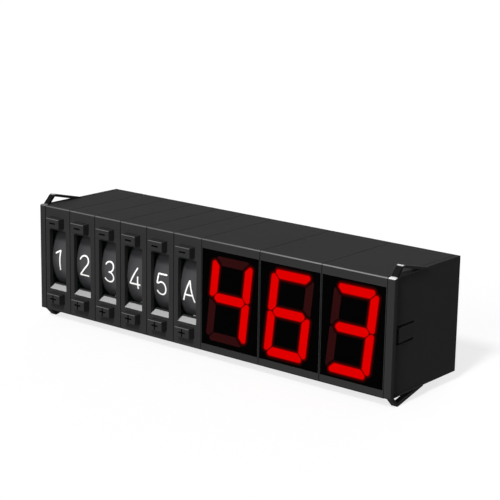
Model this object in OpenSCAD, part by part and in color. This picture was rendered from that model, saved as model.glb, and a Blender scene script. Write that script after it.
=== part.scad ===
// Panel row of six pushwheel switches and three seven segment displays.
// X runs along the row, Y into the panel, Z up. The origin is the middle of
// the panel cut-out, in the plane of the panel's front face.

/* [Row] */
// Width of one switch module
pitch = 16; // [16:0.5:20]
// Width of one display module
display_w = 32; // [32:0.5:38]
// Height of every module
body_h = 50; // [42:0.5:60]
// Depth of every module behind its front face
body_d = 50; // [48:0.5:64]
// Gap between neighbouring modules
seam = 0.3; // [0.1:0.05:0.4]

/* [Housing] */
// Thickness of the front face
front_t = 2; // [1.6:0.1:2.4]
// Thickness of the other walls
wall = 1.2; // [1:0.1:1.5]
// Rounding of the front edges
edge_r = 0.6; // [0.3:0.1:1]
// Width of the window over the number wheel
window_w = 10.6; // [9:0.1:10.8]
// Height of the window over the number wheel
window_h = 28.6; // [24:0.2:34]
// Radius of the posts that carry the side board
post_r = 2.9; // [2.6:0.1:3.2]
// Radius of the post ends that pass through the side board
spigot_r = 2; // [1.8:0.1:2.2]
// Radius of the pegs that join one module to the next
peg_r = 1; // [0.8:0.1:1.1]
// Length of those pegs
peg_len = 1.5; // [1.2:0.1:1.6]
// Distance of the front posts from the front face
post_front = 30; // [29:0.5:33]
// Distance of the rear posts from the rear face
post_rear = 6; // [5:0.5:8]

/* [Number wheel] */
// Distance of the drum from the top and bottom of the module
drum_edge = 7; // [6.8:0.1:8]
// Distance of the drum behind the front face
drum_gap = 1.8; // [1.2:0.1:2.4]
// Thickness of the drum's rim
rim_t = 1.8; // [1.4:0.1:2.4]
// Thickness of the drum's web
web_t = 1.6; // [1.2:0.1:2.4]
// Radius of the hub
hub_r = 4; // [3.8:0.1:5]
// Radius of the axle
axle_r = 2; // [1.6:0.1:2.2]
// Radius of the star wheel over its points
star_r = 4.4; // [4:0.1:5]
// Depth of the star wheel's teeth
tooth_h = 1.3; // [0.9:0.1:1.5]
// Thickness of the star wheel
star_t = 1; // [0.8:0.1:1.2]

/* [Buttons] */
// Width of a button
button_w = 8.2; // [7:0.1:9]
// Height of a button, as a share of the band beside the window
button_share = 0.416; // [0.36:0.002:0.48]
// Height of the bar between button and window, as a share of that band
bar_share = 0.145; // [0.1:0.001:0.18]
// How far a button stands in front of the face
button_out = 3.5; // [3:0.1:5]
// Travel of a button
travel = 3.4; // [2.4:0.1:3.8]
// Thickness of the lip that holds a button in
lip_t = 1.5; // [1.2:0.1:1.8]
// Reach of that lip past the button
lip_reach = 1.1; // [0.8:0.1:1.3]
// Length of the plus and minus strokes
sign_l = 3.8; // [3:0.1:4.2]
// Width of the plus and minus strokes
sign_w = 0.8; // [0.5:0.05:0.9]
// Depth of the plus and minus strokes
sign_d = 0.35; // [0.2:0.05:0.5]
// Thickness of the spring strip behind a button
spring_t = 0.4; // [0.3:0.05:0.5]
// Width of that strip
spring_w = 6; // [4:0.1:7]

/* [Window sill] */
// Depth of the sloping sill
sill_d = 3; // [2.4:0.1:3.2]
// Rise of the sloping sill
sill_rise = 1.6; // [1.2:0.1:1.8]

/* [Display] */
// Height of the frame above the display face
frame_top = 4; // [3.6:0.1:5]
// Height of the frame below the display face
frame_bottom = 3.35; // [3:0.05:5]
// Width of the frame beside the display face
frame_side = 0.45; // [0.4:0.05:0.8]
// Depth of the pocket for the segment block
pocket_d = 8; // [7:0.1:9]
// Recess of the display face
face_recess = 0.3; // [0.1:0.05:0.6]
// Black face above and below a digit
digit_edge = 2.275; // [2:0.025:4]
// Width of a digit
digit_w = 22; // [19:0.1:23]
// Distance of the digit's middle from the middle of its face
digit_x = -0.5; // [-1:0.1:1]
// Height of the middle segment above the digit's centre
middle_z = 0.7; // [0:0.1:1.2]
// Slant of the digit in degrees
slant = 6; // [0:0.5:8]
// Width of a segment
seg_w = 4; // [3.4:0.1:4.6]
// Gap between neighbouring segments
seg_gap = 0.3; // [0.2:0.05:0.6]
// Rounding of a segment's corners
seg_r = 1.3; // [0.4:0.1:1.6]
// Depth of the diffuser in a segment
seg_d = 5; // [4:0.1:5.6]

/* [Boards] */
// Thickness of every circuit board
board_t = 0.8; // [0.6:0.1:1.2]
// Length of the board tail behind the module
tail = 5; // [3:0.5:9]
// Height of the board tail
tail_h = 34; // [24:1:34]
// Length of a light emitting diode along its segment
led_l = 2; // [1.6:0.1:2.4]
// Width of a light emitting diode
led_w = 1.25; // [1:0.05:1.6]
// Height of a light emitting diode
led_h = 0.9; // [0.6:0.05:1.1]
// Length of the driver chip
chip_l = 10; // [8:0.1:12]
// Width of the driver chip
chip_w = 4; // [3.5:0.1:6]
// Height of the driver chip
chip_h = 1.6; // [1.2:0.1:2]

/* [End caps] */
// Width of the front flange
flange_w = 3.5; // [3:0.1:4.5]
// Thickness of the front flange
flange_t = 2; // [1.6:0.1:2.4]
// Thickness of the cap's plate
cap_t = 2.3; // [2.2:0.1:2.6]
// Height of a latch over the cap
latch_h = 4.4; // [3.4:0.1:5]
// Distance of the latch tip behind the flange
latch_tip = 4.1; // [3.5:0.1:5]
// Length of the latch
latch_l = 22.6; // [20:0.2:26]
// Thickness of the latch strip
latch_t = 1.15; // [0.9:0.05:1.3]
// Height of the side tongue
tongue_h = 6; // [5:0.1:8]
// Length of the side tongue
tongue_l = 11.5; // [10:0.5:14]
// Height of the tongue's middle above the middle of the cap
tongue_z = 0.5; // [-1:0.1:1]
// Width of the slot round the tongue
slot_w = 1; // [0.8:0.1:1.2]
// How far the tongue's free end stands out
tongue_out = 0.7; // [0.3:0.1:1]

/* [Hidden] */
switches = 6;
displays = 3;
shown = [4, 6, 3];
SEGMENTS = "abcdefg";
LIT = ["abcdef", "bc", "abdeg", "abcdg", "bcfg", "acdfg", "acdefg", "abc", "abcdefg", "abcdfg"];
positions = 6;

// Clearances: a fit that is pressed or glued, one that slides and one that runs free
fit = 0.05;
slide = 0.15;
run = 0.2;
// How far a form reaches into the one that it grows from, and a cut past the face that it opens
root = 0.5;
past = 1;

top = body_h / 2;
rear = body_d - wall;
row_w = switches * pitch + displays * display_w;
// Side board, next to the open left side of a module
board_x = seam / 2 + fit;
board_in = board_x + board_t;
board_h = body_h - 2 * wall - 2 * slide;
// Posts in the corners of the module, sunk a little into its top and bottom
post_sink = 0.3;
post_z = top - wall - post_r + post_sink;
posts = [for (y = [post_front, body_d - post_rear], s = [-1, 1]) [y, s * post_z]];
socket_d = peg_len + run;
// Inner face of a switch module's right wall, and the star wheel next to it
wall_in = pitch - seam / 2 - wall;
star_x = wall_in - run - star_t;
// Number wheel, between the side board and the star wheel: its rim runs close to the board,
// and its web is set back to leave room for the wiper
drum_x = board_in + slide;
wiper_h = 1;
web_x = board_in + wiper_h;
drum_r = top - drum_edge;
axle_y = drum_gap + drum_r;
drum_soft = 0.3;
relief = 0.25;
spoke_t = 1.2;
spoke_gap = 4;
boss_r = axle_r + 1.2;
boss_step = 0.3;
// Axle tip in the side board
tip_r = axle_r - 0.5;
// Wiper, in the recess between the hub's boss and the rim: a plate held by two stakes, and
// three fingers, each ending in a flat foot
recess_r = drum_r - rim_t;
recess_w = recess_r - boss_r;
wiper_t = 0.3;
wiper_r = boss_r + 0.45 * recess_w;
wiper_w = 0.4 * recess_w;
wiper_l = 0.7 * recess_w;
stake_r = 0.8;
stake_z = 0.35 * wiper_l;
stakes = [for (s = [-1, 1]) [wiper_r, s * stake_z]];
finger_w = 0.23 * wiper_w;
finger_t = 0.25;
finger_l = 0.4 * recess_w;
finger_pitch = (wiper_w - finger_w) / 2;
foot_l = 0.8;
// Buttons, in the bands above and below the window, and the lip that holds them in
band_h = top - window_h / 2;
button_h = band_h * button_share;
button_z = window_h / 2 + band_h * bar_share + button_h / 2;
button_top = button_z + button_h / 2;
button_low = button_z - button_h / 2;
button_soft = 0.35;
lip_y = front_t + slide;
lip_end = lip_y + lip_t;
// Arm of a button and the pawl at its end, which stops short of the star wheel
arm_x = star_x + slide;
arm_end = wall_in - slide;
arm_root = 2.4;
pawl_l = 1.8;
pawl_h = 1.3;
pawl_lead = 0.6;
// Spring behind the lip, above the drum, and the rib of the housing that it bears on
rib_front = 6.2;
rib_t = 1.2;
rib_over = 0.3;
rib_y = axle_y - rib_front;
spring_gap = 0.2;
spring_end = 0.6;
spring_low = max(drum_r, button_low);
spring_high = button_top + lip_reach - spring_gap;
spring_x = pitch / 2 - spring_w / 2;
rib_side = 1;
// Shelf under the sill, with a dust lip behind it
shelf_t = 0.9;
dust_t = 1.2;
dust_h = 0.5;
sill_front = 0.15;
// Display face and segment block
face_h = body_h - frame_top - frame_bottom;
face_z = (frame_bottom - frame_top) / 2;
digit_h = face_h - 2 * digit_edge;
block_w = display_w - 2 * frame_side - 2 * fit;
display_wall_in = display_w - seam / 2 - wall;
led_y = pocket_d + fit;
driver_y = led_y + board_t + fit;
// Rounding of the segments' corners, no more than their shortest edge takes
seg_soft = min(seg_r, 0.7 * (seg_w / 2 - 0.21 * seg_gap));
// End caps: rounding of the flange's side and of its upper and lower edge, width of a latch
// (between that of the plate and that of the flange), roundness of its tip and the place of
// the tongue
flange_r = 0.3;
flange_edge = 1;
latch_w = (cap_t + flange_w) / 2 - seam / 2;
tip_front = 0.25;
tip_rear = 0.5;
tongue_y = flange_t + 2.4;
tongue_flat = 1;

$fn = 48;

// Left edge of each module along the row
function switch_x(i) = -row_w / 2 + (i - 1) * pitch;
function display_x(i) = -row_w / 2 + switches * pitch + (i - 1) * display_w;

// Puts a module's own frame, x from its left edge, y from its front face, into the row
module at(x) {
    translate([x, -flange_t, 0]) children();
}

// Extrudes a (y, z) outline along x, a (x, z) outline along y
module along_x(x, length) {
    translate([x, 0, 0]) rotate([90, 0, 90]) linear_extrude(length) children();
}
module along_y(y, length) {
    translate([0, y + length, 0]) rotate([90, 0, 0]) linear_extrude(length) children();
}

module box(from, to) {
    translate(from) cube(to - from);
}

// Outline from u0 to u1, y0 to y1, with the two corners at y0 rounded
module front_rounded(u0, u1, y0, y1, r) {
    translate([u0 + r, y0]) square([u1 - u0 - 2 * r, 2 * r]);
    translate([u0, y0 + r]) square([u1 - u0, y1 - y0 - r]);
    translate([u0 + r, y0 + r]) circle(r);
    translate([u1 - r, y0 + r]) circle(r);
}

// Block whose front edges are rounded, across x by side_r and across z by edge
module soft_block(from, to, side_r, edge) {
    intersection() {
        translate([0, 0, from.z]) linear_extrude(to.z - from.z)
            front_rounded(from.x, to.x, from.y, to.y, side_r);
        along_x(from.x, to.x - from.x)
            rotate(90) mirror([0, 1]) front_rounded(from.z, to.z, from.y, to.y, edge);
    }
}

// Polygon with each corner rounded by r, for a convex outline
function corner(a, b, c, r, n) =
    let (
        u = (a - b) / norm(a - b),
        v = (c - b) / norm(c - b),
        half = acos(u * v) / 2,
        m = b + (u + v) / norm(u + v) * r / sin(half),
        from = b + u * r / tan(half) - m,
        to = b + v * r / tan(half) - m,
        turn = acos(-(u * v)),
        way = from.x * to.y - from.y * to.x > 0 ? 1 : -1
    )
    [for (k = [0:n]) let (t = way * turn * k / n) m + [
        from.x * cos(t) - from.y * sin(t),
        from.x * sin(t) + from.y * cos(t)
    ]];
function rounded(p, r, n = 5) =
    let (c = len(p))
    [for (i = [0:c - 1]) each corner(p[(i + c - 1) % c], p[i], p[(i + 1) % c], r, n)];

// Outline of a strip of thickness t along a path, with mitred bends
function strip_side(p, t) =
    [for (i = [0:len(p) - 1])
        let (
            a = i > 0 ? (p[i] - p[i - 1]) / norm(p[i] - p[i - 1]) : undef,
            b = i < len(p) - 1 ? (p[i + 1] - p[i]) / norm(p[i + 1] - p[i]) : undef,
            u = is_undef(a) ? b : a,
            v = is_undef(b) ? a : b,
            n = [-u.y - v.y, u.x + v.x] / norm(u + v),
            reach = min(t / 2 / max(norm(u + v) / 2, 0.01), 2 * abs(t))
        )
        p[i] + n * sign(t) * abs(reach)];
function strip(p, t) =
    let (q = [for (i = [len(p) - 1:-1:0]) p[i]])
    concat(strip_side(p, t), strip_side(q, t));

// Seven segment outlines, drawn with a clearance c inside their slots
function segment(name, c) =
    let (
        w = digit_w / 2 - c,
        h = digit_h / 2 - c,
        t = seg_w - 2 * c,
        gap = seg_gap + 2 * c,
        s = gap / sqrt(2),
        across = [[-w + s, h], [w - s, h], [w - t - s, h - t], [-w + t + s, h - t]],
        up = name == "b" || name == "f" ? 1 : -1,
        side = name == "b" || name == "c" ? 1 : -1,
        m = middle_z * up,
        upright = [
            [w, h - s], [w, m + gap / 2], [w - t / 2 + s - gap / 2, m + gap / 2],
            [w - t, m + t / 2 + s], [w - t, h - t - s]
        ],
        middle = [
            [w - t / 2 - s, middle_z], [w - t - s, middle_z + t / 2], [-w + t + s, middle_z + t / 2],
            [-w + t / 2 + s, middle_z], [-w + t + s, middle_z - t / 2], [w - t - s, middle_z - t / 2]
        ],
        flat = name == "a" ? across
            : name == "d" ? [for (p = across) [p.x, -p.y]]
            : name == "g" ? middle
            : [for (p = upright) [side * p.x, up * p.y]]
    )
    flat;
function slanted(p) = [display_w / 2 + digit_x + p.x + p.y * tan(slant), p.y + face_z];
module segment_outline(name, c) {
    polygon([for (p = rounded(segment(name, c), seg_soft - c)) slanted(p)]);
}
function is_lit(i, name) = len(search(name, LIT[shown[i - 1]])) > 0;
function middle_of(p) = [for (a = [0, 1]) (max([for (q = p) q[a]]) + min([for (q = p) q[a]])) / 2];

// Pegs on the right side of a module or cap, and the sockets that take them
module pegs(x) {
    for (p = posts) {
        translate([x - root, p.x, p.y]) rotate([0, 90, 0]) cylinder(r = peg_r, h = peg_len + root);
    }
}
module sockets(x) {
    for (p = posts) {
        translate([x - past, p.x, p.y]) rotate([0, 90, 0]) cylinder(r = peg_r + fit, h = socket_d + past);
    }
}

// Posts from the right wall, with a spigot for the side board
module board_posts(inner) {
    for (p = posts) {
        translate([board_in + fit, p.x, p.y]) rotate([0, 90, 0])
            cylinder(r = post_r, h = inner - board_in - fit + root);
        translate([seam / 2, p.x, p.y]) rotate([0, 90, 0]) cylinder(r = spigot_r, h = board_in);
    }
}

// Circuit board that closes a module's left side, with its tail out at the rear
module side_board(front) {
    difference() {
        union() {
            box([board_x, front, -board_h / 2], [board_in, rear - slide, board_h / 2]);
            box([board_x, rear - slide - root, -tail_h / 2], [board_in, body_d + tail, tail_h / 2]);
        }
        for (p = posts) {
            translate([0, p.x, p.y]) rotate([0, 90, 0]) cylinder(r = spigot_r + fit, h = board_in + past);
        }
    }
}

// Way out for the board's tail through the rear wall
module tail_slot() {
    box([0, rear - past, -tail_h / 2 - slide], [board_in + slide, body_d + past, tail_h / 2 + slide]);
}

module switch_housing(i) {
    color("#3A3A3A") at(switch_x(i)) difference() {
        union() {
            difference() {
                soft_block([seam / 2, 0, -top], [pitch - seam / 2, body_d, top], edge_r / 2, edge_r);
                box([0, front_t, -top + wall], [wall_in, rear, top - wall]);
                window_opening();
                drum_relief();
                for (s = [-1, 1]) {
                    button_slot(s);
                }
                tail_slot();
            }
            board_posts(wall_in);
            axle();
            sill_shelf();
            for (s = [-1, 1]) {
                spring_rib(s);
            }
            pegs(pitch - seam / 2);
        }
        sockets(seam / 2);
    }
}

module window_opening() {
    box(
        [pitch / 2 - window_w / 2, -past, -window_h / 2],
        [pitch / 2 + window_w / 2, front_t + past, window_h / 2]
    );
}

// Hollow behind the front face, round the drum, which is wider than the window
module drum_relief() {
    translate([drum_x - relief, axle_y, 0]) rotate([0, 90, 0])
        cylinder(r = drum_r + relief, h = star_x - drum_x + 2 * relief, $fn = 96);
}

module button_slot(s) {
    w = button_w / 2 + slide;
    h = button_h / 2 + slide;
    box([pitch / 2 - w, -past, s * button_z - h], [pitch / 2 + w, front_t + past, s * button_z + h]);
}

// Axle with a thrust boss at the wall and a thinner tip for the side board
module axle() {
    translate([0, axle_y, 0]) rotate([0, 90, 0]) {
        translate([0, 0, board_in + slide]) cylinder(r = axle_r, h = wall_in - board_in);
        translate([0, 0, board_x + fit]) cylinder(r = tip_r, h = board_t + root);
        translate([0, 0, wall_in - run + fit]) cylinder(r = boss_r - boss_step, h = run + root);
    }
}

// Shelf and dust lip behind the window's lower edge
module sill_shelf() {
    z = -window_h / 2;
    along_x(pitch / 2 - window_w / 2, window_w) polygon([
        [front_t - root, z - shelf_t], [sill_d + dust_t, z - shelf_t],
        [sill_d + dust_t, z + sill_rise + dust_h], [sill_d + fit, z + sill_rise + dust_h],
        [sill_d + fit, z - fit], [front_t - root, z - fit]
    ]);
}

// Rib that a button's spring bears on
module spring_rib(s) {
    low = spring_low - rib_over;
    scale([1, 1, s])
        box([spring_x - rib_side, rib_y, low], [wall_in + root, rib_y + rib_t, top - wall + root]);
}

module number_wheel(i) {
    x1 = star_x;
    bore = axle_r + fit;
    color("#2A2A2A") at(switch_x(i)) translate([0, axle_y, 0]) difference() {
        union() {
            rotate([0, 90, 0]) rotate_extrude($fn = 96) polygon([
                [bore, drum_x], [boss_r, drum_x], [boss_r, web_x], [recess_r, web_x],
                [recess_r, drum_x], [drum_r - drum_soft, drum_x], [drum_r, drum_x + drum_soft],
                [drum_r, x1 - drum_soft], [drum_r - drum_soft, x1],
                [recess_r, x1], [recess_r, web_x + web_t], [hub_r, web_x + web_t],
                [hub_r, x1], [bore, x1]
            ]);
            along_x(x1 - root, star_t + root) star();
            for (k = [0:positions - 1]) {
                rotate([360 / positions * (k + 0.5), 0, 0]) box(
                    [web_x + web_t - root, hub_r - root, -spoke_t / 2],
                    [x1 - spoke_gap, recess_r + root, spoke_t / 2]
                );
            }
            wiper_stakes();
        }
        translate([board_in, 0, 0]) rotate([0, 90, 0]) cylinder(r = bore, h = pitch);
    }
}

// Star wheel that both pawls push, one point for each position
module star() {
    step = 360 / positions;
    polygon([for (k = [0:positions - 1], e = [[-0.3, 0], [-0.16, 1], [0.16, 1], [0.3, 0]])
        let (a = step * (k + e[0]), r = star_r - tooth_h * (1 - e[1]))
        [r * cos(a), r * sin(a)]
    ]);
}

// Two stakes on the wheel's left face that hold the wiper
module wiper_stakes() {
    for (p = stakes) {
        translate([web_x - wiper_t - run, p.x, p.y]) rotate([0, 90, 0])
            cylinder(r = stake_r, h = wiper_t + run + root);
    }
}

// Spring contact that turns with the wheel inside its rim, three fingers on the board's tracks
module wheel_wiper(i) {
    color("#C9A24A") at(switch_x(i)) translate([0, axle_y, 0]) {
        difference() {
            box(
                [web_x - wiper_t, wiper_r - wiper_w / 2, -wiper_l / 2],
                [web_x, wiper_r + wiper_w / 2, wiper_l / 2]
            );
            for (p = stakes) {
                translate([0, p.x, p.y]) rotate([0, 90, 0]) cylinder(r = stake_r + fit, h = web_x + past);
            }
        }
        for (k = [-1, 0, 1]) {
            translate([0, wiper_r + k * finger_pitch - finger_w / 2, 0]) finger();
        }
    }
}
module finger() {
    tip = board_in + fit;
    back = web_x - wiper_t;
    start = wiper_l / 2;
    end = start + finger_l;
    along_y(0, finger_w) polygon([
        [back, start - root], [back, start], [tip, end - foot_l], [tip, end],
        [tip + finger_t, end], [tip + finger_t, end - foot_l], [web_x, start], [web_x, start - root]
    ]);
}

module push_button(s) {
    pawl_y = axle_y - travel + pawl_lead;
    pawl_z = star_r + slide;
    w = button_w / 2;
    difference() {
        union() {
            scale([1, 1, s]) {
                soft_block(
                    [pitch / 2 - w, -button_out, button_low], [pitch / 2 + w, lip_end, button_top],
                    button_soft, button_soft
                );
                box(
                    [pitch / 2 - w - lip_reach, lip_y, button_low],
                    [arm_end, lip_end, button_top + lip_reach]
                );
                along_x(arm_x, arm_end - arm_x) polygon([
                    [lip_end - root, button_top], [lip_end - root, button_low], [pawl_y - pawl_l, pawl_z],
                    [pawl_y, pawl_z], [pawl_y, pawl_z + pawl_h], [lip_end + arm_root, button_top]
                ]);
            }
        }
        sign_cut(s);
    }
}

// Stroke of a minus on the upper button, and the second one of a plus on the lower
module sign_cut(s) {
    y = -button_out;
    z = s * button_z;
    l = sign_l / 2;
    h = sign_w / 2;
    box([pitch / 2 - l, y - past, z - h], [pitch / 2 + l, y + sign_d, z + h]);
    if (s < 0) {
        box([pitch / 2 - h, y - past, z - l], [pitch / 2 + h, y + sign_d, z + l]);
    }
}

module minus_button(i) {
    color("#303030") at(switch_x(i)) push_button(1);
}

module plus_button(i) {
    color("#303030") at(switch_x(i)) push_button(-1);
}

// Zigzag leaf springs between each button's lip and the housing's rib
module button_springs() {
    y0 = lip_end + fit + spring_t / 2;
    y1 = rib_y - fit - spring_t / 2;
    step = (y1 - y0) / 3;
    path = [
        [y0, spring_low + spring_end], [y0, spring_high], [y0 + step, spring_low],
        [y0 + 2 * step, spring_high], [y1, spring_low], [y1, spring_high - spring_end]
    ];
    color("#B8B8B8") for (i = [1:switches], s = [-1, 1]) {
        at(switch_x(i)) scale([1, 1, s]) along_x(spring_x, spring_w) polygon(strip(path, spring_t));
    }
}

module window_sills() {
    z = -window_h / 2;
    color("#D8D8D8") for (i = [1:switches]) {
        at(switch_x(i)) along_x(pitch / 2 - window_w / 2 + fit, window_w - 2 * fit) polygon([
            [fit, z], [sill_d, z], [sill_d, z + sill_rise], [fit, z + sill_front]
        ]);
    }
}

module contact_board(i) {
    color("#2E6B3A") at(switch_x(i)) difference() {
        side_board(front_t + slide);
        translate([0, axle_y, 0]) rotate([0, 90, 0]) cylinder(r = tip_r + fit, h = board_in + past);
    }
}

module display_housing(i) {
    color("#3A3A3A") at(display_x(i)) difference() {
        union() {
            difference() {
                soft_block([seam / 2, 0, -top], [display_w - seam / 2, body_d, top], edge_r / 4, edge_r);
                box([0, pocket_d, -top + wall], [display_wall_in, rear, top - wall]);
                box(
                    [frame_side, -past, -top + frame_bottom],
                    [display_w - frame_side, pocket_d + past, top - frame_top]
                );
                tail_slot();
            }
            board_posts(display_wall_in);
            pegs(display_w - seam / 2);
        }
        sockets(seam / 2);
    }
}

module segment_block(i) {
    x = frame_side + fit;
    color("#101010") at(display_x(i)) difference() {
        box([x, face_recess, face_z - face_h / 2 + fit], [x + block_w, pocket_d, face_z + face_h / 2 - fit]);
        along_y(-past, pocket_d + 2 * past) for (name = SEGMENTS) {
            segment_outline(name, 0);
        }
    }
}

module segments(i, lit) {
    at(display_x(i)) along_y(face_recess, seg_d) for (name = SEGMENTS) {
        if (is_lit(i, name) == lit) {
            segment_outline(name, fit);
        }
    }
}

module lit_segments(i) {
    color("#E00000") segments(i, true);
}

module dark_segments(i) {
    color("#2E0B0E") segments(i, false);
}

// Board that carries the light emitting diodes, against the rear of the segment block
module led_board(i) {
    color("#2E6B3A") at(display_x(i))
        box([board_x, led_y, -board_h / 2], [display_wall_in - slide, led_y + board_t, board_h / 2]);
}

// Board at the display's left side, soldered square to the other one
module driver_board(i) {
    color("#2E6B3A") at(display_x(i)) side_board(driver_y);
}

module segment_leds() {
    color("#F0E8C0") for (i = [1:displays], name = SEGMENTS) {
        p = slanted(middle_of(segment(name, 0)));
        upright = len(search(name, "bcef")) > 0;
        size = upright ? [led_w, led_h, led_l] : [led_l, led_h, led_w];
        at(display_x(i)) translate([p.x - size.x / 2, led_y - led_h, p.y - size.z / 2]) cube(size);
    }
}

module driver_chips() {
    y = (post_front + driver_y) / 2;
    color("#202020") for (i = [1:displays]) {
        at(display_x(i)) translate([board_in, y - chip_w / 2, -chip_l / 2]) cube([chip_h, chip_w, chip_l]);
    }
}

// Cap with its own x from the row's end outwards
module end_cap() {
    intersection() {
        translate([0, 0, -top]) linear_extrude(body_h) flange_outline();
        along_x(0, flange_w) rotate(90) mirror([0, 1]) front_rounded(-top, top, 0, body_d, flange_edge);
    }
    box([seam / 2, flange_t - root, -top], [cap_t, body_d, top]);
    tongue_wedge();
    for (s = [-1, 1]) {
        scale([1, 1, s]) latch();
    }
}

// Flange in plan, with its outer front edge rounded
module flange_outline() {
    r = flange_r;
    translate([seam / 2, 0]) square([flange_w - seam / 2 - r, flange_t]);
    translate([seam / 2, r]) square([flange_w - seam / 2, flange_t - r]);
    translate([flange_w - r, r]) circle(r);
}

// Bowed strip over the cap that snaps behind the panel, a front ramp and a long rear slope
module latch() {
    foot = [flange_t - root / 2, top];
    tip = [flange_t + latch_tip, top + latch_h];
    heel = [flange_t + latch_l, top];
    down = (tip.y - heel.y) / (heel.x - tip.x);
    up = (tip.y - foot.y) / (tip.x - foot.x);
    ramp = latch_t * sqrt(1 + up * up);
    slope = latch_t * sqrt(1 + down * down);
    peak = (tip.y - slope + down * tip.x - foot.y + ramp + up * foot.x) / (up + down);
    along_x(seam / 2, latch_w) difference() {
        polygon([
            foot - [0, root], foot, tip - tip_front * [1, up],
            tip + tip_rear * [1, -down], heel, heel - [0, root]
        ]);
        polygon([
            [foot.x + ramp / up, top],
            [peak, foot.y - ramp + up * (peak - foot.x)],
            [heel.x - slope / down, top]
        ]);
    }
}

// Outline of the slot that frees the side tongue, open at its rear end
module tongue_slot() {
    y = tongue_y;
    h = tongue_h / 2;
    along_x(-past, cap_t + tongue_out + 2 * past) difference() {
        translate([y, tongue_z - h - slot_w]) square([slot_w + tongue_l, tongue_h + 2 * slot_w]);
        translate([y + slot_w, tongue_z - h]) square([tongue_l + past, tongue_h]);
    }
}
module tongue_wedge() {
    y = tongue_y + slot_w;
    translate([0, 0, tongue_z - tongue_h / 2]) linear_extrude(tongue_h) polygon([
        [cap_t - root, y], [cap_t + tongue_out, y], [cap_t + tongue_out, y + tongue_flat],
        [cap_t, y + tongue_l - tongue_flat], [cap_t - root, y + tongue_l - tongue_flat]
    ]);
}

module left_end_cap() {
    color("#333333") at(-row_w / 2) {
        mirror([1, 0, 0]) difference() {
            end_cap();
            tongue_slot();
        }
        pegs(-seam / 2);
    }
}

module right_end_cap() {
    color("#333333") at(row_w / 2) difference() {
        end_cap();
        tongue_slot();
        sockets(seam / 2);
    }
}

left_end_cap();
right_end_cap();
for (i = [1:switches]) {
    switch_housing(i);
    number_wheel(i);
    wheel_wiper(i);
    minus_button(i);
    plus_button(i);
    contact_board(i);
}
button_springs();
window_sills();
for (i = [1:displays]) {
    display_housing(i);
    segment_block(i);
    lit_segments(i);
    dark_segments(i);
    led_board(i);
    driver_board(i);
}
segment_leds();
driver_chips();
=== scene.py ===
import bpy
import numpy as np
from mathutils import Matrix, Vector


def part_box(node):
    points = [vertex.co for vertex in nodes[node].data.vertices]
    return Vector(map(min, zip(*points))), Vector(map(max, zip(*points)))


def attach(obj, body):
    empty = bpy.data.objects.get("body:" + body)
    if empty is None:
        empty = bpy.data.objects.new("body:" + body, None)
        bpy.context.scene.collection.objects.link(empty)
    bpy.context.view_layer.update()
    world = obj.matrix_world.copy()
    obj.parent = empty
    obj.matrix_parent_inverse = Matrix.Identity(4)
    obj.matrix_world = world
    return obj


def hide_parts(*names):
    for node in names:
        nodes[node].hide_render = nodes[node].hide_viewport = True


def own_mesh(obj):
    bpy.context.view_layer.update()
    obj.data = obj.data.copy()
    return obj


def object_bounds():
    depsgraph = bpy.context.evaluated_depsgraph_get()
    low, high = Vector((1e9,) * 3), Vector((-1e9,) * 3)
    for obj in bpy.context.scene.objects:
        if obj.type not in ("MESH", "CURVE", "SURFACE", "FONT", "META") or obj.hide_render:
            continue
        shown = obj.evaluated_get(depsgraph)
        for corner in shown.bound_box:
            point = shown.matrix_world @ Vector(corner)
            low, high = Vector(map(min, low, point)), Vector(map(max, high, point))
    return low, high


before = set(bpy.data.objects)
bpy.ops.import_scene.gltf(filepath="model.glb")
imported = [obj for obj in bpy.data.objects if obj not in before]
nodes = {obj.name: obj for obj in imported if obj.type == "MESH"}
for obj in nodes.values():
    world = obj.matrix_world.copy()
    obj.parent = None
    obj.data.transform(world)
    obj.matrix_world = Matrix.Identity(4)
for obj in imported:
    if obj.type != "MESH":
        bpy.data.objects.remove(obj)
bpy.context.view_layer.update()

# Housings and end caps: graphite ABS, injection moulded in a spark-eroded tool, each housing pegged
# to the next and the two caps to the ends of the row. The grain leaves it matt, with a soft sheen.
# The lighter rims, flange tops and latch tips are painted highlights, and the darker latch ramps are
# painted shade.
MM = 0.001
SWITCHES = range(1, 7)
DISPLAYS = range(1, 4)
DRIFT, GRAIN_RELIEF, GLOSS_SPAN = 30.0, 0.05, 0.05
# Where along the row, in mm, the painted highlights and painted shade rise from their left share to
# full.
PAINTED_FADE_START, PAINTED_FADE_FULL = 5.0, 60.0
LEAST_EDGE, GREATEST_EDGE, BACK_EDGE, FOOT_EDGE = 0.12, 0.03, 0.05, 0.15


def linear(code):
    """An sRGB hex code as linear RGBA: c / 12.92 below 0.04045, else ((c + 0.055) / 1.055) ** 2.4."""
    c = np.array([int(code[i:i + 2], 16) for i in (1, 3, 5)]) / 255
    return (*np.where(c < 0.04045, c / 12.92, ((c + 0.055) / 1.055) ** 2.4), 1.0)


def feed(tree, node, inputs):
    """Gives a node its inputs: one that is a socket is linked, any other is set."""
    for name, value in inputs.items():
        if isinstance(value, bpy.types.NodeSocket):
            tree.links.new(value, node.inputs[name])
        else:
            node.inputs[name].default_value = value


def add(tree, kind, inputs, **settings):
    """One shader node with its settings and its inputs."""
    made = tree.nodes.new(kind)
    for name, value in settings.items():
        setattr(made, name, value)
    feed(tree, made, inputs)
    return made


def new_material(title):
    """A material, its node tree and its main shader."""
    made = bpy.data.materials.new(title)
    made.use_nodes = True
    return made, made.node_tree, made.node_tree.nodes["Principled BSDF"]


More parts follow.
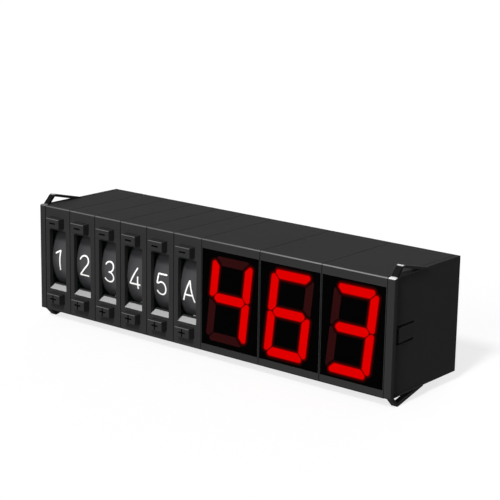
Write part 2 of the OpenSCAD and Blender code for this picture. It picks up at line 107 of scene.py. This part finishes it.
def grained_finish(title, dark, light, roughness, grain, depth, optics, painted_light=()):
    """Plastic, ink, paint or resin: a colour that drifts between two tones over DRIFT mm, and a grain
    in the gloss and the bump, its size in mm, drawn coarser than the real one so that it shows.
    Each given place of painted highlight or painted shade is mixed in by a mask, the product of five
    ramps: one along the row from where its painted fade starts to where it is full, and one across each
    of the place's four limits, its edge wide to either side."""
    made, tree, shader = new_material(title)
    place = add(tree, "ShaderNodeTexCoord", {}).outputs
    drift = add(tree, "ShaderNodeTexNoise",
                {"Vector": place["Object"], "Scale": 1 / (DRIFT * MM), "Detail": 3.0})
    fine = add(tree, "ShaderNodeTexNoise",
               {"Vector": place["Object"], "Scale": 1 / (grain * MM), "Detail": 2.0})
    tone = add(tree, "ShaderNodeMix",
               {"Factor": drift.outputs["Fac"], "A": linear(dark), "B": linear(light)}, data_type="RGBA")
    # Each place lays its painted highlight or painted shade over the tone.
    for code, least, greatest, back, foot, left in painted_light:
        up = add(tree, "ShaderNodeSeparateXYZ", {0: place["Normal"]}).outputs["Z"]
        spot = add(tree, "ShaderNodeSeparateXYZ", {0: place["Object"]}).outputs
        ramp = add(tree, "ShaderNodeMapRange", {"Value": spot["X"], "From Min": PAINTED_FADE_START * MM,
                                                "From Max": PAINTED_FADE_FULL * MM, "To Min": left})
        mask = ramp.outputs["Result"]
        for value, limit, edge in ((up, least, LEAST_EDGE), (up, greatest, -GREATEST_EDGE),
                                   (spot["Y"], back * MM, -BACK_EDGE * MM),
                                   (spot["Z"], foot * MM, FOOT_EDGE * MM)):
            ramp = add(tree, "ShaderNodeMapRange",
                       {"Value": value, "From Min": limit - edge, "From Max": limit + edge})
            mask = add(tree, "ShaderNodeMath", {0: mask, 1: ramp.outputs["Result"]},
                       operation="MULTIPLY").outputs[0]
        tone = add(tree, "ShaderNodeMix",
                   {"Factor": mask, "A": tone.outputs["Result"], "B": linear(code)}, data_type="RGBA")
    gloss = add(tree, "ShaderNodeMapRange",
                {"Value": fine.outputs["Fac"], "To Min": roughness - GLOSS_SPAN,
                 "To Max": roughness + GLOSS_SPAN})
    bump = add(tree, "ShaderNodeBump", {"Height": fine.outputs["Fac"], "Strength": depth,
                                        "Distance": GRAIN_RELIEF * MM})
    feed(tree, shader, {"Base Color": tone.outputs["Result"], "Roughness": gloss.outputs["Result"],
                        "Normal": bump.outputs["Normal"], **optics})
    return made


def paint(material, *names):
    """Gives CAD nodes one material."""
    for name in names:
        mesh = nodes[name].data
        mesh.materials.clear()
        mesh.materials.append(material)


# A place of painted highlight or painted shade: its colour, the least and the greatest z of the normal
# there, the y in front of which and the z over which it lies, in mm, and its share at the row's left
# half.
# Painted highlight along the frames' rounded top front edge, fainter towards the row's left.
RIM_HIGHLIGHT = ("#7C7C7C", 0.27, 0.96, -1.05, -30.0, 0.5)
# Painted glints on the caps' flange tops and latch tips, and painted shade darkening the latch ramps.
FLANGE_TOP_GLINT = ("#E4E4E4", 0.62, 1.2, 0.05, 20.0, 0.18)
LATCH_RAMP_SHADE = ("#161616", -2.0, 2.0, 3.8, 25.2, 1.0)
LATCH_TIP_GLINT = ("#E8E8E8", -2.0, 2.0, 99.0, 29.08, 0.5)
# The tool's grain is about 0.1 mm; it is drawn at 0.5 mm, the finest that shows at this distance.
GRAPHITE = ("#2B2B2B", "#2F2F2F", 0.8, 0.5, 0.25, {"IOR": 1.53, "Specular IOR Level": 0.03})
# The housings' finish carries the painted rim highlight.
graphite_abs = grained_finish("graphite_moulded_abs", *GRAPHITE, [RIM_HIGHLIGHT])
# The caps' finish carries the painted glints and the painted shade on the latch ramps.
cap_abs = grained_finish("graphite_abs_with_painted_glints_and_shade", *GRAPHITE,
                         [FLANGE_TOP_GLINT, LATCH_RAMP_SHADE, LATCH_TIP_GLINT])
paint(cap_abs, "left_end_cap", "right_end_cap")
paint(graphite_abs, *[f"switch_housing_{i}" for i in SWITCHES])
paint(graphite_abs, *[f"display_housing_{i}" for i in DISPLAYS])

# Circuit boards: glass-fibre laminate under green solder mask, one at the open side of each module
# and one behind each segment block. The mask is a smooth lacquer, and the copper tracks under it, one
# to each pad of a tail, show as slightly lighter, raised bands.
PAD_PITCH, COPPER_T = 3.2, 0.035
green_mask, tree, shader = new_material("green_solder_mask")
place = add(tree, "ShaderNodeTexCoord", {}).outputs["Object"]
# The period of a wave of bands is pi / 10 over its scale.
tracks = add(tree, "ShaderNodeTexWave", {"Vector": place, "Scale": np.pi / 10 / (PAD_PITCH * MM),
                                         "Distortion": 0.6, "Detail": 0.0},
             wave_type="BANDS", bands_direction="Z")
step = add(tree, "ShaderNodeMapRange",
           {"Value": tracks.outputs["Fac"], "From Min": 0.55, "From Max": 0.7})
tone = add(tree, "ShaderNodeMix",
           {"Factor": step.outputs["Result"], "A": linear("#0B2414"), "B": linear("#12361E")},
           data_type="RGBA")
bump = add(tree, "ShaderNodeBump",
           {"Height": step.outputs["Result"], "Strength": 0.4, "Distance": COPPER_T * MM})
feed(tree, shader, {"Base Color": tone.outputs["Result"], "Normal": bump.outputs["Normal"],
                    "Roughness": 0.32, "IOR": 1.5})
paint(green_mask, *[f"contact_board_{i}" for i in SWITCHES])
paint(green_mask, *[f"led_board_{i}" for i in DISPLAYS], *[f"driver_board_{i}" for i in DISPLAYS])

# Tail pads: gold-plated copper, 1.6 x 4 mm, etched on both faces of each board's tail at the rear.
# The plating is bright, and plugging in scuffs it in spots, drawn at 0.6 mm so that they show.
PADS, PAD_W, PAD_L, PAD_EDGE, SUNK = 10, 1.6, 4.0, 0.4, 0.01
gold_plate, tree, shader = new_material("gold_plated_copper")
place = add(tree, "ShaderNodeTexCoord", {}).outputs["Object"]
wear = add(tree, "ShaderNodeTexNoise", {"Vector": place, "Scale": 1 / (0.6 * MM), "Detail": 4.0})
gloss = add(tree, "ShaderNodeMapRange", {"Value": wear.outputs["Fac"], "To Min": 0.18, "To Max": 0.4})
feed(tree, shader, {"Roughness": gloss.outputs["Result"], "Base Color": linear("#E0B765"),
                    "Metallic": 1.0})


def new_piece(title, points, faces, material, body, slot):
    """A mesh object at the origin from an n x 3 array in millimetres and an m x 4 array of corners."""
    mesh = bpy.data.meshes.new(title)
    mesh.from_pydata((points * MM).tolist(), [], faces.tolist())
    mesh.update()
    made = bpy.data.objects.new(title, mesh)
    bpy.context.scene.collection.objects.link(made)
    mesh.materials.append(material)
    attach(made, body)
    return made


def plates(low, high):
    """Boxes between n x 3 low and high corners, six quads each: where bit b of k is 1, corner k has
    its coordinate b from high, else from low."""
    bits = np.array([[k & 1, k >> 1 & 1, k >> 2 & 1] for k in range(8)])
    points = np.where(bits[None] == 1, high[:, None], low[:, None]).reshape(-1, 3)
    quads = np.array([[0, 2, 3, 1], [4, 5, 7, 6], [0, 1, 5, 4],
                      [2, 6, 7, 3], [0, 4, 6, 2], [1, 3, 7, 5]])
    return points, (np.arange(len(low))[:, None, None] * 8 + quads).reshape(-1, 4)


for title, boards in (("switch_tail_pads", [f"contact_board_{i}" for i in SWITCHES]),
                      ("display_tail_pads", [f"driver_board_{i}" for i in DISPLAYS])):
    low, high = [], []
    for board in boards:
        a, b = (np.array(corner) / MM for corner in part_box(board))
        rear = b[1] - PAD_EDGE
        z = (np.arange(PADS) - (PADS - 1) / 2) * PAD_PITCH
        for x0, x1 in ((a[0] - COPPER_T, a[0] + SUNK), (b[0] - SUNK, b[0] + COPPER_T)):
            low.append(np.stack([np.full(PADS, x0), np.full(PADS, rear - PAD_L), z - PAD_W / 2], -1))
            high.append(np.stack([np.full(PADS, x1), np.full(PADS, rear), z + PAD_W / 2], -1))
    new_piece(title, *plates(np.concatenate(low), np.concatenate(high)), gold_plate, "bank", "contact")

# Light ribs: a frame 0.6 mm wide moulded on the side of each housing, just inside its outline. It meets
# the next module and keeps light from passing through the joint, which is 0.3 mm wide.
ROW_LEFT, SWITCH_W, DISPLAY_W = -96.0, 16.0, 32.0
RIB_FRONT, RIB_REAR, RIB_Z, RIB_W, JOINT = -0.8, 47.2, 24.3, 0.6, 0.298


def bar(edges, closed=False):
    """A bar along four edges, each n x 3: quads between edge c and edge c + 1, and one at either end,
    or a ring where it is closed and row n is row 0 again."""
    n = len(edges[0])
    row = np.arange(n if closed else n - 1)[:, None]
    c = np.arange(4)[None]
    a, b = 4 * row, 4 * ((row + 1) % n)
    skin = np.stack([a + c, a + (c + 1) % 4, b + (c + 1) % 4, b + c], -1).reshape(-1, 4)
    ends = np.array([[3, 2, 1, 0], [4 * n - 4, 4 * n - 3, 4 * n - 2, 4 * n - 1]])
    return np.stack(edges, 1).reshape(-1, 3), skin if closed else np.concatenate([skin, ends])


def joined(parts):
    """Several (points, faces) pairs as one: each pair's faces count on from the points before it."""
    points, faces = zip(*parts)
    starts = np.cumsum([0] + [len(p) for p in points[:-1]])
    return np.concatenate(points), np.concatenate([f + start for f, start in zip(faces, starts)])


def light_rib(x):
    """A rectangular ring in the joint at x: its outer and inner corners at both sides of the joint."""
    corner = np.array([(0, 1), (1, 1), (1, -1), (0, -1)])
    edges = []
    for side, inset in ((-1, 0), (1, 0), (1, RIB_W), (-1, RIB_W)):
        y = np.where(corner[:, 0] == 0, RIB_FRONT + inset, RIB_REAR - inset)
        z = corner[:, 1] * (RIB_Z - inset)
        edges.append(np.stack([np.full(4, x + side * JOINT / 2), y, z], -1))
    return bar(edges, closed=True)


widths = [SWITCH_W] * len(SWITCHES) + [DISPLAY_W] * len(DISPLAYS)
ribs = joined([light_rib(x) for x in ROW_LEFT + np.cumsum([0] + widths)])
new_piece("light_ribs", *ribs, graphite_abs, "bank", "housing")

# Number wheels: drums moulded in black acetal, turning on the housing's axle. Acetal is slightly waxy,
# so the drum is smoother than the housing and shows a soft band of light across its middle.
black_acetal = grained_finish("black_moulded_acetal", "#303032", "#343436", 0.42, 0.8, 0.0,
                              {"IOR": 1.48, "Specular IOR Level": 0.35})
paint(black_acetal, *[f"number_wheel_{i}" for i in SWITCHES])

# Characters: dense white ink, pad printed round each drum at six positions, 10.1 mm high in a
# round-ended stroke 0.77 mm wide, leaning 3 degrees. The shown character faces the front, and the next
# one up stands above it.
INK_W, INK_T, INK_BITE, LEAN = 0.77, 0.03, 0.02, 0.055
PRINT_X, PRINT_Z, TOP, POSITIONS = -0.63, -0.35, 4.65, 6
DRUM_R, AXLE_Y, AXLE_Z = 18.0, 17.8, 0.0
WALK, LOOK, TIP_HALF, TIP_POINTS = 0.15, 0.12, 0.02, 6
white_ink = grained_finish("white_pad_print_ink", "#F2F2F0", "#FAFAF8", 0.55, 0.4, 0.08, {})


def arc(cx, cz, rx, rz, start, end, count=28):
    """Points on an ellipse about (cx, cz) from start to end degrees, counted from +x towards +z."""
    t = np.radians(np.linspace(start, end, count))
    return np.stack([cx + rx * np.cos(t), cz + rz * np.sin(t)], -1)


def run(*points):
    """A straight-sided path through points."""
    return np.array(points, float)


def switch_x(i):
    """The middle of switch i: half a width short of i widths from the row's left end."""
    return ROW_LEFT + SWITCH_W * (i - 0.5)


# The middle lines of the strokes, in mm about each character's own middle.
STROKES = {
    "0": [arc(0, 0, 2.8, TOP, 90, 450, 56)],
    "1": [run((-2.6, 3.1), (0.05, TOP), (0.05, -TOP))],
    "2": [np.concatenate([arc(-0.1, 2.25, 2.65, 2.55, 165, -30), run((-2.75, -TOP), (2.5, -TOP))])],
    "3": [arc(-0.1, 2.4, 2.5, 2.4, 155, -90), arc(-0.1, -2.4, 2.75, 2.4, 90, -155)],
    "4": [run((0.9, TOP), (-3.1, -2.8), (2.85, -2.8)), run((1.6, 0.7), (1.6, -TOP))],
    "5": [np.concatenate([run((2.4, TOP), (-2.3, TOP), (-2.55, 0.5)),
                          arc(-0.1, -1.85, 2.7, 2.95, 128, -150)])],
    "A": [run((-3.15, -TOP), (0, TOP), (3.15, -TOP)), run((-2.2, -1.9), (2.2, -1.9))],
    "B": [np.concatenate([run((-2.4, 0.35), (-2.4, TOP)), arc(0.3, 2.425, 2.1, 2.225, 90, -90),
                          run((-2.3, 0.2))]),
          np.concatenate([arc(0.4, -2.225, 2.4, 2.425, 90, -90), run((-2.4, -TOP), (-2.4, 0.1))])],
    "C": [arc(0, 0, 2.8, TOP, 48, 312, 48)],
    "D": [np.concatenate([run((-2.4, -TOP), (-2.4, TOP)), arc(-0.6, 0, 3.3, TOP, 90, -90, 40),
                          run((-2.3, -TOP))])],
    "E": [run((2.5, TOP), (-2.3, TOP), (-2.3, -TOP), (2.5, -TOP)), run((-2.3, 0.2), (1.8, 0.2))],
    "F": [run((1.9, TOP), (-2.3, TOP), (-2.3, -TOP)), run((-2.3, 0.2), (1.5, 0.2))],
}


def printed(path, centre_x, angle):
    """A stroke wrapped on the drum. The path is walked every WALK mm and carried past both ends by half
    the stroke, where the half width falls as sqrt(r^2 - d^2), down to TIP_HALF. Its way at a point is
    from LOOK mm behind to LOOK mm ahead. A point (u, v) of the flat print goes to
    x = centre + u + v LEAN and to the drum's angle (v + PRINT_Z) / R above the position's own."""
    r = INK_W / 2
    at = np.concatenate([[0], np.cumsum(np.linalg.norm(np.diff(path, axis=0), axis=1))])
    length = at[-1]
    tip = np.linspace(0, np.pi / 2, TIP_POINTS)
    s = np.concatenate([-r * np.cos(tip), np.linspace(0, length, int(length / WALK) + 2)[1:-1],
                        length + r * np.sin(tip)])
    inside = np.clip(s, 0, length)
    past = s - inside
    flat, ahead, behind = (np.stack([np.interp(t, at, path[:, k]) for k in (0, 1)], -1)
                           for t in (inside, inside + LOOK, inside - LOOK))
    way = (ahead - behind) / np.linalg.norm(ahead - behind, axis=1, keepdims=True)
    flat = flat + way * past[:, None]
    half = np.sqrt(np.clip(r ** 2 - past ** 2, TIP_HALF ** 2, None))
    side = np.stack([-way[:, 1], way[:, 0]], -1) * half[:, None]
    rows = []
    for sign, lift in ((-1, -INK_BITE), (-1, INK_T), (1, INK_T), (1, -INK_BITE)):
        u, v = (flat + sign * side).T
        turn = angle + (v + PRINT_Z) / DRUM_R
        rows.append(np.stack([centre_x + u + v * LEAN, AXLE_Y - (DRUM_R + lift) * np.cos(turn),
                              AXLE_Z + (DRUM_R + lift) * np.sin(turn)], -1))
    points, faces = bar(rows)
    return points, faces[:, ::-1]


for i in SWITCHES:
    series, first = ("ABCDEF", 0) if i == SWITCHES[-1] else ("012345", i)
    parts = [printed(path, switch_x(i) + PRINT_X, np.radians(360 / POSITIONS * k))
             for k in range(POSITIONS) for path in STROKES[series[(first + k) % POSITIONS]]]
    new_piece(f"wheel_characters_{i}", *joined(parts), white_ink, f"wheel_{i}", "sill")

# Wheel wipers: spring contacts stamped from phosphor bronze strip and staked to the wheels. Rolling
# leaves fine lines along the strip, which catch the light.
ROLLED_LINE, ALONG = 0.1, 0.05


def rolled_strip(title, code, stretch, smooth, rough):
    """Rolled metal: roughness between smooth and rough in lines, a noise drawn out along the strip by
    the scale stretch. Real lines are some hundredths of a mm wide; they are drawn at ROLLED_LINE."""
    made, tree, shader = new_material(title)
    place = add(tree, "ShaderNodeTexCoord", {}).outputs["Object"]
    rolled = add(tree, "ShaderNodeMapping", {"Vector": place, "Scale": stretch})
    lines = add(tree, "ShaderNodeTexNoise", {"Vector": rolled.outputs["Vector"],
                                             "Scale": 1 / (ROLLED_LINE * MM), "Detail": 3.0})
    gloss = add(tree, "ShaderNodeMapRange",
                {"Value": lines.outputs["Fac"], "To Min": smooth, "To Max": rough})
    feed(tree, shader, {"Roughness": gloss.outputs["Result"], "Base Color": linear(code),
                        "Metallic": 1.0})
    return made


bronze = rolled_strip("rolled_phosphor_bronze", "#C9964B", (1.0, 1.0, ALONG), 0.22, 0.42)
paint(bronze, *[f"wheel_wiper_{i}" for i in SWITCHES])

# Button springs: zigzags bent from stainless strip, one behind each button, between its lip and a rib of
# the housing. Each rests on the rib.
SPRING_W, SPRING_T, BEND_R, BEND_POINTS, TRAVEL = 6.0, 0.4, 0.45, 10, 3.4
SPRING_FRONT, SPRING_REAR, SPRING_LOW, SPRING_HIGH, SPRING_TAIL = 1.7, 11.55, 18.0, 21.2, 0.6
spring_steel = rolled_strip("rolled_spring_steel", "#B9BABC", (ALONG, 1.0, 1.0), 0.25, 0.45)


def zigzag(x, side):
    """A strip SPRING_W wide in x, bent in y and z over the drum (side 1) or under it (side -1). A bend
    at p from direction u to v, turning by t, is p - u r tan(t / 2) + r (u sin a + w (1 - cos a)) for a
    from 0 to t, where w is square to u towards v. The two faces lie SPRING_T / 2 off that line."""
    y = np.linspace(SPRING_FRONT + SPRING_T / 2, SPRING_REAR - SPRING_T / 2, 4)
    path = run((y[0], SPRING_LOW + SPRING_TAIL), (y[0], SPRING_HIGH), (y[1], SPRING_LOW),
               (y[2], SPRING_HIGH), (y[3], SPRING_LOW), (y[3], SPRING_HIGH - SPRING_TAIL))
    legs = np.diff(path, axis=0)
    legs /= np.linalg.norm(legs, axis=1, keepdims=True)
    line, way = [path[:1]], [legs[:1]]
    for p, u, v in zip(path[1:-1], legs[:-1], legs[1:]):
        turn = np.arccos(u @ v)
        w = (v - u * (u @ v)) / np.sin(turn)
        a = np.linspace(0, turn, BEND_POINTS)[:, None]
        start = p - u * BEND_R * np.tan(turn / 2)
        line.append(start + BEND_R * (u * np.sin(a) + w * (1 - np.cos(a))))
        way.append(u * np.cos(a) + w * np.sin(a))
    line, way = np.concatenate(line + [path[-1:]]), np.concatenate(way + [legs[-1:]])
    off = np.stack([-way[:, 1], way[:, 0]], -1) * SPRING_T / 2
    edges = []
    for edge_x, face in ((x, -1), (x + SPRING_W, -1), (x + SPRING_W, 1), (x, 1)):
        flat = line + face * off
        edges.append(np.stack([np.full(len(flat), edge_x), flat[:, 0], side * flat[:, 1]], -1))
    points, faces = bar(edges)
    return points, faces[:, ::-side]


for i in SWITCHES:
    for button, side in (("minus", 1), ("plus", -1)):
        spring = new_piece(f"{button}_spring_{i}", *zigzag(switch_x(i) - SPRING_W / 2, side),
                           spring_steel, "bank", "spring")
        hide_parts("button_springs")
        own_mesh(spring)

# Push buttons: the same graphite ABS as the housings, sliding in the front face above and below each
# window. The plus and minus are sunk in the cap and filled with black paint, which has no shine.
SIGN_L, SIGN_W, SIGN_D, SIGN_T, SIGN_Z = 3.8, 0.8, 0.35, 0.06, 18.08
paint(graphite_abs, *[f"minus_button_{i}" for i in SWITCHES], *[f"plus_button_{i}" for i in SWITCHES])
sign_paint = grained_finish("black_fill_paint", "#040404", "#080808", 0.6, 0.3, 0.1,
                            {"Specular IOR Level": 0.0})
for i in SWITCHES:
    for button, side in (("minus", 1), ("plus", -1)):
        (_, front, _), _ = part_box(f"{button}_button_{i}")
        x, y, z = switch_x(i), front / MM + SIGN_D, side * SIGN_Z
        # Each stroke's width, lower end and upper end. A plus has one more below and one above.
        strokes = [(SIGN_L, z - SIGN_W / 2, z + SIGN_W / 2)]
        if button == "plus":
            strokes += [(SIGN_W, z - SIGN_L / 2, z - SIGN_W / 2),
                        (SIGN_W, z + SIGN_W / 2, z + SIGN_L / 2)]
        width, lower, upper = np.array(strokes).T
        low = np.stack([x - width / 2, np.full(len(width), y - SIGN_T), lower], -1)
        high = np.stack([x + width / 2, np.full(len(width), y + SUNK), upper], -1)
        new_piece(f"{button}_button_{i}_sign", *plates(low, high), sign_paint, f"{button}_{i}", "block")

# Window sills: wedges moulded in pale grey ABS and pressed in at the foot of each window. The tool was
# polished, so they are smooth and satin.
pale_abs = grained_finish("pale_grey_moulded_abs", "#A6A6A6", "#AEAEAE", 0.4, 0.6, 0.1, {"IOR": 1.53})
paint(pale_abs, "window_sills")

# Segment blocks: moulded in matt black polycarbonate, with seven light wells each, and pressed into the
# display housings. Their face takes up nearly all light.
black_block = grained_finish("matt_black_polycarbonate", "#020202", "#040404", 0.75, 0.5, 0.1,
                             {"Specular IOR Level": 0.0})
paint(black_block, *[f"segment_block_{i}" for i in DISPLAYS])

# Diffusers: red-tinted resin cast into the wells. The driven ones glow evenly, with a faint cloud in
# them; the others look like dark wine-red glass.
lit_resin, tree, shader = new_material("lit_red_resin")
place = add(tree, "ShaderNodeTexCoord", {}).outputs["Object"]
# The resin's filler is far too fine to see; its clouding is drawn at 2 mm.
cloud = add(tree, "ShaderNodeTexNoise", {"Vector": place, "Scale": 1 / (2 * MM), "Detail": 2.0})
tone = add(tree, "ShaderNodeMix",
           {"Factor": cloud.outputs["Fac"], "A": linear("#D60000"), "B": linear("#E60000")},
           data_type="RGBA")
feed(tree, shader, {"Emission Color": tone.outputs["Result"], "Emission Strength": 1.0,
                    "Base Color": linear("#1A0000"), "Roughness": 0.6, "Specular IOR Level": 0.0})
paint(lit_resin, *[f"lit_segments_{i}" for i in DISPLAYS])
dark_resin = grained_finish("unlit_red_resin", "#270B0C", "#2C0D0E", 0.5, 2.0, 0.0,
                            {"Specular IOR Level": 0.0})
paint(dark_resin, *[f"dark_segments_{i}" for i in DISPLAYS])

# Glow: the red light that scatters in the face's matt film round each driven segment and fades out
# within about a millimetre and a half is painted glow, on an emitting film 0.015 mm thick on the face,
# black where the glow ends.
FACE_Y, FILM_FRONT, FILM_T, FILM_EDGE, FILM_STEP = -1.7, 0.02, 0.015, 0.1, 0.25
DIGIT_H, DIGIT_W, DIGIT_X, DIGIT_Z, SLANT = 38.1, 22.0, -0.5, -0.325, np.tan(np.radians(6))
SEG_W, SEG_GAP, SEG_R, MIDDLE_Z = 4.0, 0.3, 1.3, 0.7
OUTLINE_LIGHT, RISE, FADE, FAINTEST = 0.25, 0.35, 0.375, 0.004
DRIVEN = {1: "bcfg", 2: "acdefg", 3: "abcdg"}


def segment(name):
    """A segment's corners about the digit's middle, upright: its ends are mitred at 45 degrees, half a
    gap short of the next segment's."""
    w, h, t, s = DIGIT_W / 2, DIGIT_H / 2, SEG_W, SEG_GAP / np.sqrt(2)
    across = np.array([(-w + s, h), (w - s, h), (w - t - s, h - t), (-w + t + s, h - t)])
    if name == "a":
        return across
    if name == "d":
        return across * (1, -1)
    if name == "g":
        right = np.array([(w - t - s, t / 2), (w - t / 2 - s, 0), (w - t - s, -t / 2)])
        return np.concatenate([right, right[::-1] * (-1, 1)]) + (0, MIDDLE_Z)
    up, side = (1 if name in "bf" else -1), (1 if name in "bc" else -1)
    m = MIDDLE_Z * up
    return np.array([(w, h - s), (w, m + SEG_GAP / 2), (w - t / 2 + s - SEG_GAP / 2, m + SEG_GAP / 2),
                     (w - t, m + t / 2 + s), (w - t, h - t - s)]) * (side, up)


def away(points, corners, radius):
    """Distance of n x 2 points from a convex outline with rounded corners: the distance from the
    outline drawn in by the radius, less the radius. Inside, it is that to the nearest edge, below 0."""
    along = np.roll(corners, -1, 0) - corners
    n = np.stack([along[:, 1], -along[:, 0]], -1)
    n /= np.linalg.norm(n, axis=1, keepdims=True)
    n *= np.sign(((corners - corners.mean(0)) * n).sum(1))[:, None]
    d = (corners * n).sum(1) - radius
    # Each corner that is drawn in is where its two edges, n . p = d, cross.
    pairs = np.stack([np.roll(n, 1, 0), n], 1)
    drawn_in = np.linalg.solve(pairs, np.stack([np.roll(d, 1), d], -1)[..., None])[..., 0]
    edge = np.roll(drawn_in, -1, 0) - drawn_in
    rel = points[:, None] - drawn_in[None]
    share = np.clip((rel * edge).sum(-1) / (edge ** 2).sum(-1), 0, 1)
    out = np.linalg.norm(rel - share[..., None] * edge, axis=-1).min(1)
    deep = ((points[:, None] * n).sum(-1) - d).max(1)
    return np.where(deep > 0, out, deep) - radius


glow_film, tree, shader = new_material("black_face_film_with_red_glow")
level = add(tree, "ShaderNodeAttribute", {}, attribute_name="glow")
haze = add(tree, "ShaderNodeMix",
           {"Factor": level.outputs["Fac"], "A": linear("#000000"), "B": linear("#DE0000")},
           data_type="RGBA")
feed(tree, shader, {"Emission Color": haze.outputs["Result"], "Emission Strength": 1.0,
                    "Base Color": linear("#030303"), "Roughness": 0.75, "Specular IOR Level": 0.0})
for i in DISPLAYS:
    a, b = (np.array(corner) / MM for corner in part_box(f"segment_block_{i}"))
    gx, gz = np.meshgrid(*(np.arange(a[k] + FILM_EDGE, b[k] - FILM_EDGE, FILM_STEP) for k in (0, 2)))
    # Back to the upright digit: the slant moves x by z times its tangent.
    z = gz - DIGIT_Z
    upright = np.stack([gx - (a[0] + b[0]) / 2 - DIGIT_X - z * SLANT, z], -1).reshape(-1, 2)
    d = np.min([away(upright, segment(name), SEG_R) for name in DRIVEN[i]], axis=0)
    # Light falls evenly to its share at the outline, and outside by the same part in each mm.
    within = OUTLINE_LIGHT + (1 - OUTLINE_LIGHT) * np.clip(-d / RISE, 0, 1)
    glow = np.where(d < 0, within, OUTLINE_LIGHT * np.exp(-np.clip(d, 0, None) / FADE))
    keep = ((glow > FAINTEST) & (d > -RISE)).reshape(gx.shape)
    quad = keep[:-1, :-1] & keep[1:, :-1] & keep[:-1, 1:] & keep[1:, 1:]
    index = np.arange(gx.size).reshape(gx.shape)
    faces = np.stack([index[:-1, :-1][quad], index[:-1, 1:][quad],
                      index[1:, 1:][quad], index[1:, :-1][quad]], -1)
    used, faces = np.unique(faces, return_inverse=True)
    faces, n = faces.reshape(-1, 4), len(used)
    # An edge that only one quad has is on the rim, where a quad joins the film's front to its back.
    sides = np.stack([faces, np.roll(faces, -1, 1)], -1).reshape(-1, 2)
    _, first, count = np.unique(np.sort(sides, 1), axis=0, return_index=True, return_counts=True)
    rim = sides[first[count == 1]]
    walls = np.concatenate([rim[:, ::-1], rim + n], 1)
    front = np.stack([gx.ravel(), np.full(gx.size, FACE_Y - FILM_FRONT), gz.ravel()], -1)[used]
    film = new_piece(f"segment_glow_{i}", np.concatenate([front, front + (0, FILM_T, 0)]),
                     np.concatenate([faces, faces[:, ::-1] + n, walls]), glow_film, "bank", "block")
    both = np.concatenate([glow[used], glow[used]]).astype(np.float32)
    film.data.attributes.new("glow", "FLOAT", "POINT").data.foreach_set("value", both)

# Diodes and driver chips: clear-resin surface-mount diodes behind the wells and black moulded chips on
# the driver boards, both soldered down and out of sight.
clear_resin = grained_finish("clear_diode_resin", "#E6DFC0", "#EFE9CF", 0.3, 0.3, 0.05, {})
paint(clear_resin, "segment_leds")
chip_resin = grained_finish("black_chip_resin", "#1A1A1B", "#222223", 0.55, 0.2, 0.2, {})
paint(chip_resin, "driver_chips")

# Stage: a white floor under the lower latches, a key lamp high in front, soft lamps lower in front and
# behind, and a white surround. The floor and the surround are white to the eye and in reflections, and
# grey to the light that they throw on the row. The rear lamp isn't seen in reflections.
FLOOR, FLOOR_GREY, FLOOR_LIFT, SURROUND = 4.0, 0.3, 0.75, 0.2
WHITE = (1.0, 1.0, 1.0, 1.0)
LAMPS = {
    # Strength, spread in degrees, and the way to the lamp.
    "key_lamp": (2.1, 9, (0.12, -0.7, 0.7)),
    "front_lamp": (1.7, 30, (0.1, -0.95, 0.3)),
    "rear_lamp": (1.3, 40, (-0.4, 0.9, 0.15)),
}


def seen(tree):
    """1 for a ray from the camera, a reflection or through a clear piece, else 0: their greatest."""
    ray = add(tree, "ShaderNodeLightPath", {}).outputs
    straight = add(tree, "ShaderNodeMath", {0: ray["Is Camera Ray"], 1: ray["Is Glossy Ray"]},
                   operation="MAXIMUM")
    return add(tree, "ShaderNodeMath", {0: straight.outputs[0], 1: ray["Is Transmission Ray"]},
               operation="MAXIMUM").outputs[0]


corners = np.array([(-FLOOR, -FLOOR), (FLOOR, -FLOOR), (FLOOR, FLOOR), (-FLOOR, FLOOR)])
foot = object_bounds()[0][2]
floor_mesh = bpy.data.meshes.new("floor")
floor_mesh.from_pydata(np.column_stack([corners, np.full(4, foot)]).tolist(), [], [(0, 1, 2, 3)])
floor = bpy.data.objects.new("floor", floor_mesh)
bpy.context.scene.collection.objects.link(floor)
white_floor, tree, shader = new_material("white_floor")
lift = add(tree, "ShaderNodeMath", {0: seen(tree), 1: FLOOR_LIFT}, operation="MULTIPLY")
feed(tree, shader, {"Base Color": (FLOOR_GREY, FLOOR_GREY, FLOOR_GREY, 1.0), "Emission Color": WHITE,
                    "Emission Strength": lift.outputs[0], "Roughness": 1.0, "Specular IOR Level": 0.0})
floor_mesh.materials.append(white_floor)

for title, (energy, spread, towards) in LAMPS.items():
    lamp = bpy.data.objects.new(title, bpy.data.lights.new(title, "SUN"))
    lamp.data.energy = energy
    lamp.data.angle = np.radians(spread)
    lamp.visible_glossy = title != "rear_lamp"
    back = np.array(towards) / np.linalg.norm(towards)
    right = np.cross((0, 0, 1), back)
    right /= np.linalg.norm(right)
    lamp.matrix_world = Matrix(np.column_stack([right, np.cross(back, right), back]).tolist()).to_4x4()
    bpy.context.scene.collection.objects.link(lamp)

world = bpy.data.worlds.new("white_surround")
bpy.context.scene.world = world
world.use_nodes = True
tree = world.node_tree
strength = add(tree, "ShaderNodeMapRange", {"Value": seen(tree), "To Min": SURROUND, "To Max": 1.0})
feed(tree, tree.nodes["Background"], {"Strength": strength.outputs["Result"], "Color": WHITE})

# Camera: where the photograph was taken from, by a fit of the row's corners. Its own axes to the right,
# up and back are given as directions, and its place in millimetres.
CAMERA_RIGHT, CAMERA_UP = (0.776175, 0.630293, 0.01682), (-0.164494, 0.17667, 0.970427)
CAMERA_BACK, CAMERA_PLACE = (0.608682, -0.755988, 0.240807), (425.07, -496.78, 181.99)
camera = bpy.data.objects.new("camera", bpy.data.cameras.new("camera"))
camera.data.sensor_width = 36.0
camera.data.lens = 112.9
camera.data.clip_start = 0.05
turn = np.eye(4)
turn[:3] = np.column_stack([CAMERA_RIGHT, CAMERA_UP, CAMERA_BACK, np.array(CAMERA_PLACE) * MM])
camera.matrix_world = Matrix(turn.tolist())
bpy.context.scene.collection.objects.link(camera)
bpy.context.scene.camera = camera
bpy.context.scene.view_settings.view_transform = "Standard"
